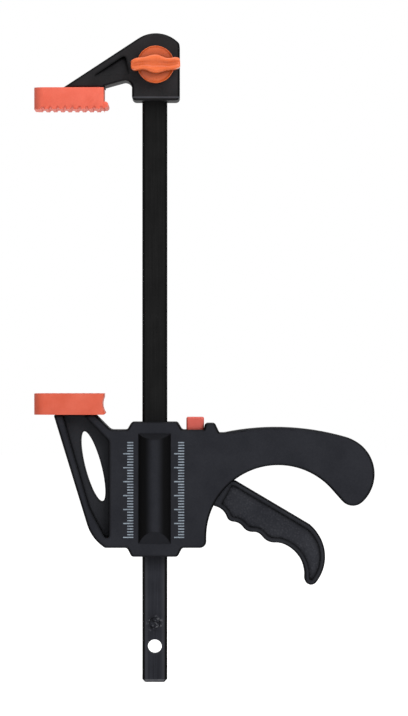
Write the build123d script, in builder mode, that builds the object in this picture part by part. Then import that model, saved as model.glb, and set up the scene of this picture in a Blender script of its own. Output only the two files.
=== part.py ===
from build123d import *
import os
from math import cos, radians, sin, sqrt, tan

os.makedirs("parts", exist_ok=True)

# Quick release bar clamp of the 100 mm class. Millimetres, +Z up along the bar.
# The origin is the centre of the hanging hole near the bar's lower end.
# The jaws reach towards -X, the handle towards +X, and the front faces -Y.
# Outlines are drawn on Plane.XZ, so a sketch's x and y are the clamp's X and Z,
# and a positive extrusion goes to the front.

# Clearances
bar_slide_gap = 0.3  # bar to the housing that slides on it, each side
bar_socket_gap = 0.05  # bar to the fixed jaw that is locked to it, each side
bar_plate_gap = 0.12  # bar to the slots of the steel plates, each side
shaft_gap = 0.05  # pins and screws in their bores, radial
move_gap = 0.3  # between other pieces that move past each other
seat_gap = 0.05  # between pieces that are pressed together
mould_gap = 0.02  # between a moulding and the steel that it grips

# Bar
bar_width = 7.2
bar_thickness = 4.0
bar_edge_r = 0.9
bar_length = 183.0
bar_hole_d = 4.0
hang_hole_to_end = 10.3
lock_hole_to_end = 5.65
lock_x = 0.35  # lock screw's axis, off the bar's centreline
bar_end_chamfer = 0.9

# Stop pin, peened over on both sides, that keeps the sliding jaw on the bar
stop_rise = 6.8  # above the hanging hole
stop_pin_d = 2.4
stop_head_d = 3.2
stop_head_height = 0.4
stop_head_taper = 30.0
stop_mark_width = 0.45  # chisel mark across the head
stop_mark_angle = 35.0

# Fixed jaw
head_half = 7.5  # half its thickness
head_crown_r = 9.2  # crown, round the lock screw
head_jaw_wall = 2.9
head_back_wall = 3.6
head_grip = 15.75  # length of bar inside the socket
head_roof_gap = 0.4  # bar end to the socket's end
head_edge_r = 0.8
head_corner_r = 1.2
crown_corner_r = 1.5
arm_slope = 33.2  # degrees, of the arm's upper edge
arm_root_rise = 6.35  # head's bottom to the arm's underside
arm_root_r = 2.0
arm_step = 0.5  # arm's underside above the pad's top
arm_rim = 2.7  # solid rim over the pocket
arm_pocket_tip = 17.2
arm_pocket_end = 7.6
arm_pocket_foot = 7.9  # pocket's lower corner above the head's bottom
arm_pocket_depth = 2.6
arm_pocket_r = 0.7

# Jaw pads
pad_tip = 34.55  # bar centre to the pads' free end
pad_length = 20.0
pad_half = 9.4
pad_end_r = 3.0
pad_edge_r = 0.6
pad_wall = 2.6
fixed_pad_height = 6.2
fixed_pad_top = 3.65  # fixed pad's upper face above the head's bottom
moving_pad_height = 6.05
ridge_pitch = 2.1
ridge_groove_r = 0.55
ridge_groove_depth = 0.42
ridge_start = 2.5  # pad's free end to the first groove
ridge_end = 0.65
ridge_border = 1.6  # plain border round the moving pad's grooves
pull_tab_r = 0.9
pull_tab_reach = 0.4
pull_tab_rise = 0.35
pad_lip = 0.45
pad_lip_height = 1.1
pad_scoop_r = 4.0
tongue_height = 3.1  # of the tongues that the pads are pressed on
tongue_half = 6.0
tongue_corner_r = 1.0

# Lock screw, knob, washer and nut
lock_screw_d = 3.8
lock_insert_d = 6.6
lock_insert_height = 1.8
lock_insert_depth = 0.8  # of moulding behind the insert
lock_insert_chamfer = 0.3
knob_disc_r = 5.3
knob_disc_height = 3.4
knob_wing_length = 14.1
knob_wing_width = 3.7
knob_wing_height = 3.4
knob_boss_r = 2.6
knob_blend_r = 1.6
knob_edge_r = 0.7
knob_rest_angle = 3.0  # degrees, where the knob is tight
washer_d = 9.0
washer_thickness = 0.8
nut_flats = 7.0
nut_thickness = 3.2

# Housing
housing_rest = 26.0  # housing's bottom above the hanging hole, at rest
housing_height = 38.7
housing_half = 7.2
housing_edge_r = 0.8
housing_wall = 2.0
side_wall = 1.7
collar_half = 6.6
collar_taper = 1.3
collar_drop = 2.55
collar_rise = 2.25
body_right = 14.85
corner_r = 1.0
body_corner_r = 1.9
bulge_width = 9.3
bulge_height = 2.6
bulge_low = 3.7  # bulge's lower end above the housing's bottom
bulge_high = 3.3  # bulge's upper end below the housing's top
bulge_low_slope = 3.6  # lengths of its sloped ends
bulge_high_slope = 1.7

# Bump that guards the button
guard_left = 14.1
guard_right = 18.6
guard_height = 1.9
guard_draft = 0.4
guard_fall = 1.3

# Moving jaw, moulded in one with the housing
seat_rise = 4.3  # pad seat above the body's top
strut_tip = 29.0
strut_foot = 14.3
foot_bevel_x = 3.95
foot_bevel_rise = 3.0
foot_r = 12.0
seat_end = 16.9
seat_corner_r = 0.4
web_half = 3.2
web_rim = 2.5
web_side = 12.95  # bar centre to the recess
web_low_rise = 5.5  # recess above the housing's bottom
web_high_drop = 5.4  # recess's inner upper corner below the housing's top
web_foot = 14.3
web_bend = 18.9
web_bend_rise = 14.3
web_bend_r = 4.0
web_corner_r = 0.6
web_top_end = 20.2
window_length = 20.8
window_width = 4.7
window_tilt = 14.7
window_x = -17.7
window_rise = 4.2  # above the middle of the strut's height

# Handle, with its outline over the top and round the nose as clockwise arcs
handle_root = 20.0
handle_root_drop = 1.6
handle_drop = 1.5  # handle's top under the collar's top
handle_start_angle = 11.8
handle_top_r = 72.8
handle_shoulder_r = 10.9
handle_nose_r = 11.0
handle_tip_r = 4.1
handle_sweeps = (28.1, 66.7, 53.5, 89.9)  # degrees of these four arcs
arch_r = 20.6  # finger arch
arch_foot = 3.15  # straight edge below the arch
arch_end_angle = 42.5
handle_rib = 1.2
handle_rib_depth = 5.5

# Housing screws, driven from the back
screw_d = 2.0
screw_head_d = 3.8
screw_head_height = 1.3
screw_sink = 1.7  # depth of the head's pocket
screw_length = 9.6
screw_cross = 0.5
screw_cross_length = 2.6
screw_boss_r = 2.4
strut_low_screw = (-10.5, 8.3)  # from the bar's centre and the housing's bottom
body_screw = (11.3, 5.6)
strut_high_screw = (-10.3, 4.7)  # from the bar's centre and below the housing's top
handle_screws = ((21.6, 6.9), (38.0, 6.5), (57.2, 14.3))

# Trigger, with its outline from its pin
pin_x = 10.5
pin_d = 3.0
pin_seat = 2.3  # depth of the pin's bore in each shell
trigger_half = 5.0
trigger_edge_r = 0.7
trigger_travel = 19.0  # degrees
trigger_back = ((12.9, 1.1), (34.2, -11.5))
trigger_back_r = 4.0
trigger_hook = ((38.5, -20.0), (35.9, -28.0), (32.6, -26.7))
trigger_fingers = (
    (26.9, -17.1),
    (24.1, -16.55),
    (20.4, -14.75),
    (17.8, -13.5),
    (14.9, -12.1),
    (12.1, -10.55),
    (10.2, -9.1),
    (6.9, -6.1),
)
grip_rim = 1.3
grip_panel_depth = 0.6
grip_panel_end = ((13.7, 3.7), (7.3, -7.9))
hub_r = 3.2
hub_shelf_gap = 0.7  # hub to the shelf above it
hub_half = 3.8
nose_arm = 5.0
nose_r = 1.6
nose_arm_half = 1.1
slot_reach = 19.3
slot_low_angle = -56.0
slot_high_angle = 22.0

# Drive plates and drive spring
plate_thickness = 1.5
plate_half = 5.0
plate_corner_r = 0.8
drive_plate_left = 6.2
drive_plate_right = 6.5
spring_seat_rise = 6.15  # spring's lower seat above the housing's bottom
drive_spring_r = 4.75
drive_wire_d = 0.8
drive_turns = 6

# Brake plate and brake spring
brake_tilt = 6.0  # degrees, right end up
brake_thickness = 2.4
brake_pivot = 8.3  # bar centre to the plate's left end
brake_right = 14.0
brake_drop = 5.05  # plate's left end below the top of its bay
brake_bind_gap = 0.05
bay_left = 8.6
ledge_reach = 2.0
ledge_thickness = 1.2
brake_spring_x = 9.0
brake_spring_r = 1.75
brake_wire_d = 0.5
brake_turns = 3
shelf_drop = 3.75  # brake spring's shelf below the plate's left end
shelf_thickness = 1.2
shelf_half = 2.4

# Release button
button_x = 11.65
button_width = 5.1
button_depth = 7.0
button_top = 3.65  # proud of the housing
button_edge_r = 0.5
button_corner_r = 0.6
button_foot_r = 1.0
button_flange = 0.9
button_flange_height = 1.2

# Places that follow from these sizes
bar_bottom_z = -hang_hole_to_end
bar_top_z = bar_bottom_z + bar_length
lock_z = bar_top_z - lock_hole_to_end
lock_place = (lock_x, lock_z)
head_bottom_z = bar_top_z - head_grip
head_left = -bar_width / 2 - head_jaw_wall
head_right = bar_width / 2 + head_back_wall
fixed_pad_top_z = head_bottom_z + fixed_pad_top
fixed_face_z = fixed_pad_top_z - fixed_pad_height
fixed_seat_z = fixed_pad_top_z + seat_gap
collar_bottom_z = housing_rest
collar_top_z = housing_rest + housing_height
body_bottom_z = collar_bottom_z + collar_drop
body_top_z = collar_top_z - collar_rise
seat_z = body_top_z + seat_rise
pad_seat_z = seat_z + seat_gap
moving_face_z = pad_seat_z + moving_pad_height
handle_top_z = collar_top_z - handle_drop
handle_radii = (handle_top_r, handle_shoulder_r, handle_nose_r, handle_tip_r)
arch_x = body_right + arch_r
arch_z = body_bottom_z + arch_foot
window_z = (body_bottom_z + seat_z) / 2 + window_rise
cavity_half = housing_half - side_wall
bay_top_z = body_top_z - housing_wall
brake_pivot_z = bay_top_z - brake_drop
shelf_z = brake_pivot_z - shelf_drop
spring_seat_z = housing_rest + spring_seat_rise
pin_z = shelf_z - shelf_thickness - hub_shelf_gap - hub_r
pad_right = pad_length - pad_tip
tongue_x = (pad_right - pad_tip) / 2
tongue_length = pad_length - 2 * pad_wall


def finish(sub_part, name):
    """Label a finished sub-part and write it as STEP."""
    sub_part.part.label = name
    export_step(sub_part.part, f"parts/{name}.step")


def outer_edges(sub_part):
    """Edges of the front and back faces."""
    faces = sub_part.faces().filter_by(Axis.Y).sort_by(Axis.Y)
    return faces[0].edges() + faces[-1].edges()


def flat_edges(sub_part):
    """Edges of the top and bottom faces."""
    faces = sub_part.faces().filter_by(Axis.Z).sort_by(Axis.Z)
    return faces[0].edges() + faces[-1].edges()


# Bar
with BuildPart() as bar:
    with BuildSketch(Plane.XY.offset(bar_bottom_z)):
        RectangleRounded(bar_width, bar_thickness, bar_edge_r)
    extrude(amount=bar_length)
    chamfer(flat_edges(bar).filter_by(Axis.X), length=bar_end_chamfer)
    with BuildSketch(Plane.XZ):
        with Locations((0, 0), lock_place):
            Circle(bar_hole_d / 2)
        with Locations((0, stop_rise)):
            Circle(stop_pin_d / 2 + mould_gap)
    extrude(amount=bar_thickness, both=True, mode=Mode.SUBTRACT)
finish(bar, "bar")

with BuildPart() as stop_pin:
    with BuildSketch(Plane.XZ):
        with Locations((0, stop_rise)):
            Circle(stop_pin_d / 2)
    extrude(amount=bar_thickness / 2, both=True)
    for face_side in (-1, 1):
        head_plane = Plane(
            origin=(0, face_side * bar_thickness / 2, stop_rise),
            z_dir=(0, face_side, 0),
        )
        with BuildSketch(head_plane):
            Circle(stop_head_d / 2)
        extrude(amount=stop_head_height, taper=stop_head_taper)
        with BuildSketch(head_plane.offset(stop_head_height)):
            with Locations(Location((0, 0), stop_mark_angle)):
                Rectangle(stop_head_d, stop_mark_width)
        extrude(amount=-stop_head_height / 2, mode=Mode.SUBTRACT)
finish(stop_pin, "stop_pin")


# Fixed jaw
slope = radians(arm_slope)
crown_start = (lock_x - head_crown_r * sin(slope), lock_z + head_crown_r * cos(slope))
crown_end = (head_right, lock_z + sqrt(head_crown_r**2 - (head_right - lock_x) ** 2))


def arm_top(x, drop=0.0):
    """Height of the arm's upper edge at x, less a drop square to the edge."""
    return crown_start[1] + (x - crown_start[0]) * tan(slope) - drop / cos(slope)


arm_seat_left = crown_start[0] - (crown_start[1] - fixed_seat_z) / tan(slope)
arm_under_end = pad_right + move_gap

with BuildSketch(Plane.XZ) as fixed_jaw_profile:
    with BuildLine():
        Line((arm_seat_left, fixed_seat_z), crown_start)
        ThreePointArc(crown_start, (lock_x, lock_z + head_crown_r), crown_end)
        FilletPolyline(
            crown_end,
            (head_right, head_bottom_z),
            (head_left, head_bottom_z),
            (head_left, head_bottom_z + arm_root_rise),
            (arm_under_end, fixed_seat_z + arm_step),
            radius=[head_corner_r, head_corner_r, arm_root_r],
        )
        Polyline(
            (arm_under_end, fixed_seat_z + arm_step),
            (arm_under_end, fixed_seat_z),
            (arm_seat_left, fixed_seat_z),
        )
    make_face()
    crown_corner = fixed_jaw_profile.vertices().sort_by_distance(Vector(*crown_end))[0]
    fillet(crown_corner, radius=crown_corner_r)

with BuildSketch(Plane.XZ) as arm_pocket:
    with BuildLine():
        FilletPolyline(
            (-arm_pocket_tip, arm_top(-arm_pocket_tip, arm_rim)),
            (-arm_pocket_end, arm_top(-arm_pocket_end, arm_rim)),
            (-arm_pocket_end, head_bottom_z + arm_pocket_foot),
            radius=arm_pocket_r,
            close=True,
        )
    make_face()

with BuildPart() as fixed_jaw:
    extrude(fixed_jaw_profile.sketch, amount=head_half, both=True)
    fillet(outer_edges(fixed_jaw), radius=head_edge_r)
    # Tongue that the pad is pressed on
    with BuildSketch(Plane.XY.offset(fixed_seat_z)):
        with Locations((tongue_x, 0)):
            RectangleRounded(tongue_length, 2 * tongue_half, tongue_corner_r)
    extrude(amount=-tongue_height)
    for face_side in (1, -1):
        with BuildSketch(Plane.XZ.offset(face_side * head_half)):
            add(arm_pocket.sketch_local)
        extrude(amount=-face_side * arm_pocket_depth, mode=Mode.SUBTRACT)
    # Socket for the bar
    with BuildSketch(Plane.XY.offset(head_bottom_z)):
        Rectangle(bar_width + 2 * bar_socket_gap, bar_thickness + 2 * bar_socket_gap)
    extrude(amount=head_grip + head_roof_gap, mode=Mode.SUBTRACT)
    # Bore for the lock screw and pocket for its nut
    with BuildSketch(Plane.XZ):
        with Locations(lock_place):
            Circle(bar_hole_d / 2)
    extrude(amount=2 * head_half, both=True, mode=Mode.SUBTRACT)
    with BuildSketch(Plane.XZ.offset(-head_half)):
        with Locations(lock_place):
            RegularPolygon(nut_flats / 2 + seat_gap, 6, major_radius=False)
    extrude(amount=nut_thickness + seat_gap, mode=Mode.SUBTRACT)
finish(fixed_jaw, "fixed_jaw")


# Jaw pads
def groove_lines(first, last):
    """Centres of the grooves between two places along a pad."""
    count = int((last - first) / ridge_pitch)
    start = (first + last - count * ridge_pitch) / 2
    return [start + step * ridge_pitch for step in range(count + 1)]


def groove_places(first, last, height):
    """The same centres as places on Plane.XZ."""
    return [(x, height) for x in groove_lines(first, last)]


with BuildSketch() as pad_plan:
    with Locations((tongue_x, 0)):
        Rectangle(pad_length, 2 * pad_half)
    fillet(pad_plan.vertices().group_by(Axis.X)[0], radius=pad_end_r)
    fillet(pad_plan.vertices().group_by(Axis.X)[-1], radius=pad_edge_r)

with BuildSketch() as pad_socket:
    with Locations((tongue_x, 0)):
        RectangleRounded(
            tongue_length + 2 * seat_gap,
            2 * (tongue_half + seat_gap),
            tongue_corner_r,
        )

groove_lift = ridge_groove_r - ridge_groove_depth

with BuildPart() as fixed_jaw_pad:
    with BuildSketch(Plane.XY.offset(fixed_face_z)):
        add(pad_plan.sketch_local)
    extrude(amount=fixed_pad_height)
    fillet(flat_edges(fixed_jaw_pad), radius=pad_edge_r)
    # Pull tab along the inner lower edge
    with BuildSketch(Plane.XZ):
        with Locations((pad_right + pull_tab_reach, fixed_face_z + pull_tab_r + pull_tab_rise)):
            Circle(pull_tab_r)
    extrude(amount=pad_half - pad_edge_r, both=True)
    with BuildSketch(Plane.XZ):
        groove_first = ridge_start - pad_tip
        groove_last = pad_right - ridge_end
        with Locations(groove_places(groove_first, groove_last, fixed_face_z - groove_lift)):
            Circle(ridge_groove_r)
    extrude(amount=2 * pad_half, both=True, mode=Mode.SUBTRACT)
    with BuildSketch(Plane.XY.offset(fixed_pad_top_z)):
        add(pad_socket.sketch_local)
    extrude(amount=-tongue_height, mode=Mode.SUBTRACT)
finish(fixed_jaw_pad, "fixed_jaw_pad")

with BuildPart() as moving_jaw_pad:
    with BuildSketch(Plane.XY.offset(pad_seat_z)):
        add(pad_plan.sketch_local)
    extrude(amount=moving_pad_height)
    fillet(flat_edges(moving_jaw_pad), radius=pad_edge_r)
    # Lip along the inner lower edge, and the shallow scoop above it
    with BuildSketch(Plane.XZ):
        with Locations((pad_right, pad_seat_z)):
            Rectangle(2 * pad_lip, pad_lip_height, align=(Align.CENTER, Align.MIN))
    extrude(amount=pad_half - pad_edge_r, both=True)
    with BuildSketch(Plane.XZ):
        with Locations((pad_right + pad_scoop_r - pad_lip, pad_seat_z + moving_pad_height / 2)):
            Circle(pad_scoop_r)
            Rectangle(
                2 * pad_scoop_r, moving_pad_height - 2 * pad_lip_height, mode=Mode.INTERSECT
            )
    extrude(amount=2 * pad_half, both=True, mode=Mode.SUBTRACT)
    with BuildSketch(Plane.XZ):
        groove_first = pad_end_r - pad_tip
        groove_last = pad_right - ridge_border
        with Locations(groove_places(groove_first, groove_last, moving_face_z + groove_lift)):
            Circle(ridge_groove_r)
    extrude(amount=pad_half - ridge_border, both=True, mode=Mode.SUBTRACT)
    with BuildSketch(Plane.XY.offset(pad_seat_z)):
        add(pad_socket.sketch_local)
    extrude(amount=tongue_height, mode=Mode.SUBTRACT)
finish(moving_jaw_pad, "moving_jaw_pad")


# Lock screw with its washer, nut and knob
washer_back = head_half + seat_gap
knob_back = washer_back + washer_thickness + seat_gap
insert_back = knob_back + lock_insert_depth

with BuildPart() as lock_washer:
    with BuildSketch(Plane.XZ.offset(washer_back)):
        with Locations(lock_place):
            Circle(washer_d / 2)
            Circle(lock_screw_d / 2 + 2 * shaft_gap, mode=Mode.SUBTRACT)
    extrude(amount=washer_thickness)
finish(lock_washer, "lock_washer")

with BuildPart() as lock_screw:
    with BuildSketch(Plane.XZ.offset(-head_half)):
        with Locations(lock_place):
            Circle(lock_screw_d / 2)
    extrude(amount=head_half + insert_back)
    with BuildSketch(Plane.XZ.offset(insert_back)):
        with Locations(lock_place):
            RegularPolygon(lock_insert_d / 2, 6)
    extrude(amount=lock_insert_height)
    chamfer(lock_screw.faces().sort_by(Axis.Y)[-1].edges(), length=lock_insert_chamfer)
finish(lock_screw, "lock_screw")

with BuildPart() as lock_nut:
    with BuildSketch(Plane.XZ.offset(-head_half)):
        with Locations(lock_place):
            RegularPolygon(nut_flats / 2, 6, major_radius=False)
            Circle(lock_screw_d / 2 + shaft_gap, mode=Mode.SUBTRACT)
    extrude(amount=nut_thickness)
finish(lock_nut, "lock_nut")

with BuildPart() as lock_knob:
    with BuildSketch(Plane.XZ.offset(knob_back)):
        with Locations(lock_place):
            Circle(knob_disc_r)
    extrude(amount=knob_disc_height)
    fillet(lock_knob.faces().sort_by(Axis.Y)[0].edges(), radius=knob_edge_r)
    # The wing starts above the disc's back face and keeps off the washer
    with BuildSketch(Plane.XZ.offset(knob_back + mould_gap)) as wing:
        with Locations(Location(lock_place, knob_rest_angle)):
            SlotOverall(knob_wing_length, knob_wing_width)
            Circle(knob_boss_r)
        # The four corners where the boss meets the slot
        blend_corners = wing.vertices().sort_by_distance(Vector(*lock_place))[:4]
        fillet(blend_corners, radius=knob_blend_r)
    extrude(amount=knob_disc_height + knob_wing_height)
    fillet(lock_knob.faces().sort_by(Axis.Y)[0].edges(), radius=knob_edge_r)
    # Bore for the screw and pocket round its moulded-in head
    with BuildSketch(Plane.XZ.offset(knob_back)):
        with Locations(lock_place):
            Circle(lock_screw_d / 2 + mould_gap)
    extrude(amount=lock_insert_depth, mode=Mode.SUBTRACT)
    with BuildSketch(Plane.XZ.offset(insert_back - mould_gap)):
        with Locations(lock_place):
            RegularPolygon(lock_insert_d / 2 + mould_gap, 6)
    extrude(amount=lock_insert_height + 2 * mould_gap, mode=Mode.SUBTRACT)
finish(lock_knob, "lock_knob")


# Outline of the housing
def from_pin(offset):
    """A place given from the trigger's pin."""
    return (pin_x + offset[0], pin_z + offset[1])


def on_housing(place):
    """A place given from the bar's centre and the housing's bottom."""
    return (place[0], housing_rest + place[1])


def under_top(place):
    """A place given from the bar's centre and below the housing's top."""
    return (place[0], collar_top_z - place[1])


def arcs_by_sweep(start, tangent, radii, sweeps):
    """A smooth run of clockwise arcs inside a BuildLine block; gives its end."""
    for radius, sweep_angle in zip(radii, sweeps):
        arc = JernArc(start, tangent, radius, -sweep_angle)
        start, tangent = arc @ 1, arc % 1
    return start


def arcs_by_points(start, tangent, points):
    """A smooth run of arcs through the points inside a BuildLine block."""
    for point in points:
        arc = TangentArc(start, point, tangent=tangent)
        start, tangent = arc @ 1, arc % 1


handle_start = (handle_root, handle_top_z - handle_root_drop)
handle_heading = (cos(radians(handle_start_angle)), sin(radians(handle_start_angle)))

with BuildSketch(Plane.XZ) as housing_profile:
    with BuildLine():
        nose_end = arcs_by_sweep(handle_start, handle_heading, handle_radii, handle_sweeps)
        arch = CenterArc((arch_x, arch_z), arch_r, arch_end_angle, 180 - arch_end_angle)
        Line(nose_end, arch @ 0)
        FilletPolyline(
            arch @ 1,
            (body_right, body_bottom_z),
            (collar_half + collar_taper, body_bottom_z),
            (collar_half, collar_bottom_z),
            (-collar_half, collar_bottom_z),
            (-collar_half - collar_taper, body_bottom_z),
            (-strut_foot, body_bottom_z),
            (-strut_foot - foot_bevel_x, body_bottom_z + foot_bevel_rise),
            (-strut_tip, seat_z),
            (-seat_end, seat_z),
            (-seat_end + seat_z - body_top_z, body_top_z),
            (-collar_half - collar_taper, body_top_z),
            (-collar_half, collar_top_z),
            (collar_half, collar_top_z),
            (collar_half + collar_taper, body_top_z),
            (guard_left, body_top_z),
            (guard_left + guard_draft, body_top_z + guard_height),
            (guard_right - guard_fall, body_top_z + guard_height),
            (guard_right, handle_start[1]),
            handle_start,
            radius=[
                body_corner_r,
                corner_r,
                corner_r,
                corner_r,
                corner_r,
                corner_r,
                foot_r,
                seat_corner_r,
                seat_corner_r,
                2 * corner_r,
                corner_r,
                corner_r,
                corner_r,
                corner_r,
                seat_corner_r,
                corner_r,
                corner_r,
                seat_corner_r,
            ],
        )
    make_face()

# Mouth that the trigger swings through
with BuildSketch(Plane.XZ) as trigger_mouth:
    with BuildLine():
        mouth_low = PolarLine((pin_x, pin_z), slot_reach, slot_low_angle)
        mouth_arc = CenterArc(
            (pin_x, pin_z), slot_reach, slot_low_angle, slot_high_angle - slot_low_angle
        )
        Line(mouth_arc @ 1, mouth_low @ 0)
    make_face()

boss_points = [on_housing(body_screw), *[under_top(place) for place in handle_screws]]
screw_points = [on_housing(strut_low_screw), under_top(strut_high_screw), *boss_points]

# Hollow for the mechanism and the handle: the outline less a wall, without the
# strut, the collars, the spring's seat, the screw bosses and the handle's ribs.
with BuildSketch(Plane.XZ) as cavity:
    add(housing_profile.sketch_local)
    offset(amount=-housing_wall, kind=Kind.INTERSECTION)
    with Locations((-strut_tip, collar_bottom_z)):
        Rectangle(
            strut_tip - bay_left,
            2 * housing_height,
            align=(Align.MIN, Align.MIN),
            mode=Mode.SUBTRACT,
        )
        Rectangle(
            strut_tip + arch_x + arch_r,
            spring_seat_rise,
            align=(Align.MIN, Align.MIN),
            mode=Mode.SUBTRACT,
        )
    with Locations((-strut_tip, bay_top_z)):
        Rectangle(
            strut_tip + guard_right,
            housing_height,
            align=(Align.MIN, Align.MIN),
            mode=Mode.SUBTRACT,
        )
    with Locations(boss_points):
        Circle(screw_boss_r, mode=Mode.SUBTRACT)
    with Locations([(place[0], handle_top_z) for place in handle_screws[:2]]):
        Rectangle(handle_rib, 2 * handle_rib_depth, mode=Mode.SUBTRACT)
    add(trigger_mouth.sketch_local)

with BuildSketch(Plane.XZ) as web_recess:
    with BuildLine():
        FilletPolyline(
            (web_rim - strut_tip, collar_top_z + collar_rise),
            (web_rim - strut_tip, seat_z),
            on_housing((-web_bend, web_bend_rise)),
            on_housing((-web_foot, web_low_rise)),
            on_housing((-web_side, web_low_rise)),
            under_top((-web_side, web_high_drop)),
            (-web_top_end, seat_z),
            (-web_top_end, collar_top_z + collar_rise),
            radius=[
                0,
                0,
                web_bend_r,
                web_corner_r,
                web_corner_r,
                web_corner_r,
                0,
                0,
            ],
            close=True,
        )
    make_face()

with BuildSketch(Plane.XZ) as web_window:
    with Locations(Location((window_x, window_z), window_tilt)):
        Ellipse(window_width / 2, window_length / 2)

# Half-round bulges over the bar, with sloped ends
bulge_r = (bulge_width**2 / 4 + bulge_height**2) / (2 * bulge_height)
bulge_centre = housing_half + bulge_height - bulge_r
bulge_low_z = housing_rest + bulge_low
bulge_high_z = collar_top_z - bulge_high
bulge_crown = housing_half + bulge_height

with BuildPart() as bulges:
    with BuildSketch(Plane.XY.offset(bulge_low_z)):
        Rectangle(bulge_width, 2 * bulge_centre)
        with Locations((0, bulge_centre), (0, -bulge_centre)):
            Circle(bulge_r)
        Rectangle(bulge_width, 2 * bulge_crown, mode=Mode.INTERSECT)
    extrude(amount=bulge_high_z - bulge_low_z)
    with BuildSketch(Plane.YZ):
        with BuildLine():
            Polyline(
                (-housing_half, bulge_low_z),
                (-bulge_crown, bulge_low_z + bulge_low_slope),
                (-bulge_crown, bulge_high_z - bulge_high_slope),
                (-housing_half, bulge_high_z),
                (housing_half, bulge_high_z),
                (bulge_crown, bulge_high_z - bulge_high_slope),
                (bulge_crown, bulge_low_z + bulge_low_slope),
                (housing_half, bulge_low_z),
                close=True,
            )
        make_face()
    extrude(amount=bulge_width, both=True, mode=Mode.INTERSECT)

# Brake plate's plane at rest: it starts at the plate's left end, at mid thickness
brake_angle = radians(brake_tilt)
brake_plane = Plane(
    origin=(-brake_pivot, 0, brake_pivot_z),
    x_dir=(cos(brake_angle), 0, sin(brake_angle)),
    z_dir=(-sin(brake_angle), 0, cos(brake_angle)),
)


def brake_top(x):
    """Height of the tilted brake plate's upper face."""
    rise = (x + brake_pivot) * tan(brake_angle)
    return brake_pivot_z + rise + brake_thickness / 2 / cos(brake_angle)


def brake_bottom(x):
    """Height of the tilted brake plate's lower face."""
    return brake_top(x) - brake_thickness / cos(brake_angle)


ledge_high_z = brake_top(ledge_reach - bay_left) + move_gap
ledge_low_z = brake_pivot_z - brake_thickness / 2 - move_gap
boss_length = cavity_half - hub_half - move_gap
pin_half = cavity_half - boss_length + pin_seat

# Both shells in one, which the plane Y = 0 then parts
with BuildPart() as housing_block:
    extrude(housing_profile.sketch, amount=housing_half, both=True)
    fillet(outer_edges(housing_block), radius=housing_edge_r)
    add(bulges.part)
    for face_side in (1, -1):
        with BuildSketch(Plane.XZ.offset(face_side * housing_half)):
            add(web_recess.sketch_local)
        extrude(amount=face_side * (web_half - housing_half), mode=Mode.SUBTRACT)
    extrude(web_window.sketch, amount=housing_half, both=True, mode=Mode.SUBTRACT)
    # Tongue for the moving pad
    with BuildSketch(Plane.XY.offset(seat_z)):
        with Locations((tongue_x, 0)):
            RectangleRounded(tongue_length, 2 * tongue_half, tongue_corner_r)
    extrude(amount=tongue_height)
    extrude(cavity.sketch, amount=cavity_half, both=True, mode=Mode.SUBTRACT)
    # Channel for the bar
    with BuildSketch(Plane.XY.offset(collar_bottom_z)):
        Rectangle(bar_width + 2 * bar_slide_gap, bar_thickness + 2 * bar_slide_gap)
    extrude(amount=housing_height, mode=Mode.SUBTRACT)
    # Hole for the button
    with BuildSketch(Plane.XY.offset(collar_top_z)):
        with Locations((button_x, 0)):
            Rectangle(button_width + 2 * move_gap, button_depth + 2 * move_gap)
    extrude(amount=bay_top_z - button_flange_height - collar_top_z, mode=Mode.SUBTRACT)
    # Shelf under the brake spring, and ledges that hold the brake plate's left end
    with BuildSketch(Plane.XZ):
        with Locations((brake_spring_x, shelf_z)):
            Rectangle(2 * shelf_half, shelf_thickness, align=(Align.CENTER, Align.MAX))
        with Locations((-bay_left, ledge_high_z)):
            Rectangle(ledge_reach, ledge_thickness, align=(Align.MIN, Align.MIN))
        with Locations((-bay_left, ledge_low_z)):
            Rectangle(ledge_reach, ledge_thickness, align=(Align.MIN, Align.MAX))
    extrude(amount=cavity_half, both=True)
    # Bosses and bores for the trigger's pin
    for face_side in (1, -1):
        with BuildSketch(Plane.XZ.offset(face_side * cavity_half)):
            with Locations((pin_x, pin_z)):
                Circle(hub_r)
        extrude(amount=-face_side * boss_length)
    with BuildSketch(Plane.XZ):
        with Locations((pin_x, pin_z)):
            Circle(pin_d / 2 + mould_gap)
    extrude(amount=pin_half, both=True, mode=Mode.SUBTRACT)

screw_seat = screw_sink - housing_half  # of the heads, along Plane.XZ's normal
screw_tip = screw_seat + screw_length

with BuildPart() as housing_front:
    add(housing_block.part)
    split(bisect_by=Plane.XZ, keep=Keep.TOP)
    with BuildSketch(Plane.XZ):
        with Locations(screw_points):
            Circle(screw_d / 2 + mould_gap)
    extrude(amount=screw_tip + seat_gap, mode=Mode.SUBTRACT)
finish(housing_front, "housing_front")

with BuildPart() as housing_back:
    add(housing_block.part)
    split(bisect_by=Plane.XZ, keep=Keep.BOTTOM)
    with BuildSketch(Plane.XZ):
        with Locations(screw_points):
            Circle(screw_d / 2 + shaft_gap)
    extrude(amount=-housing_half, mode=Mode.SUBTRACT)
    with BuildSketch(Plane.XZ.offset(-housing_half)):
        with Locations(screw_points):
            Circle(screw_head_d / 2 + shaft_gap)
    extrude(amount=screw_sink, mode=Mode.SUBTRACT)
finish(housing_back, "housing_back")

with BuildPart() as housing_screws:
    with BuildSketch(Plane.XZ.offset(screw_seat)):
        with Locations(screw_points):
            Circle(screw_d / 2)
    extrude(amount=screw_length)
    with BuildSketch(Plane.XZ.offset(screw_seat)):
        with Locations(screw_points):
            Circle(screw_head_d / 2)
    extrude(amount=-screw_head_height)
    with BuildSketch(Plane.XZ.offset(screw_seat - screw_head_height)):
        with Locations(screw_points):
            Rectangle(screw_cross_length, screw_cross)
            Rectangle(screw_cross, screw_cross_length)
    extrude(amount=screw_head_height / 2, mode=Mode.SUBTRACT)
finish(housing_screws, "housing_screws")


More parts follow.
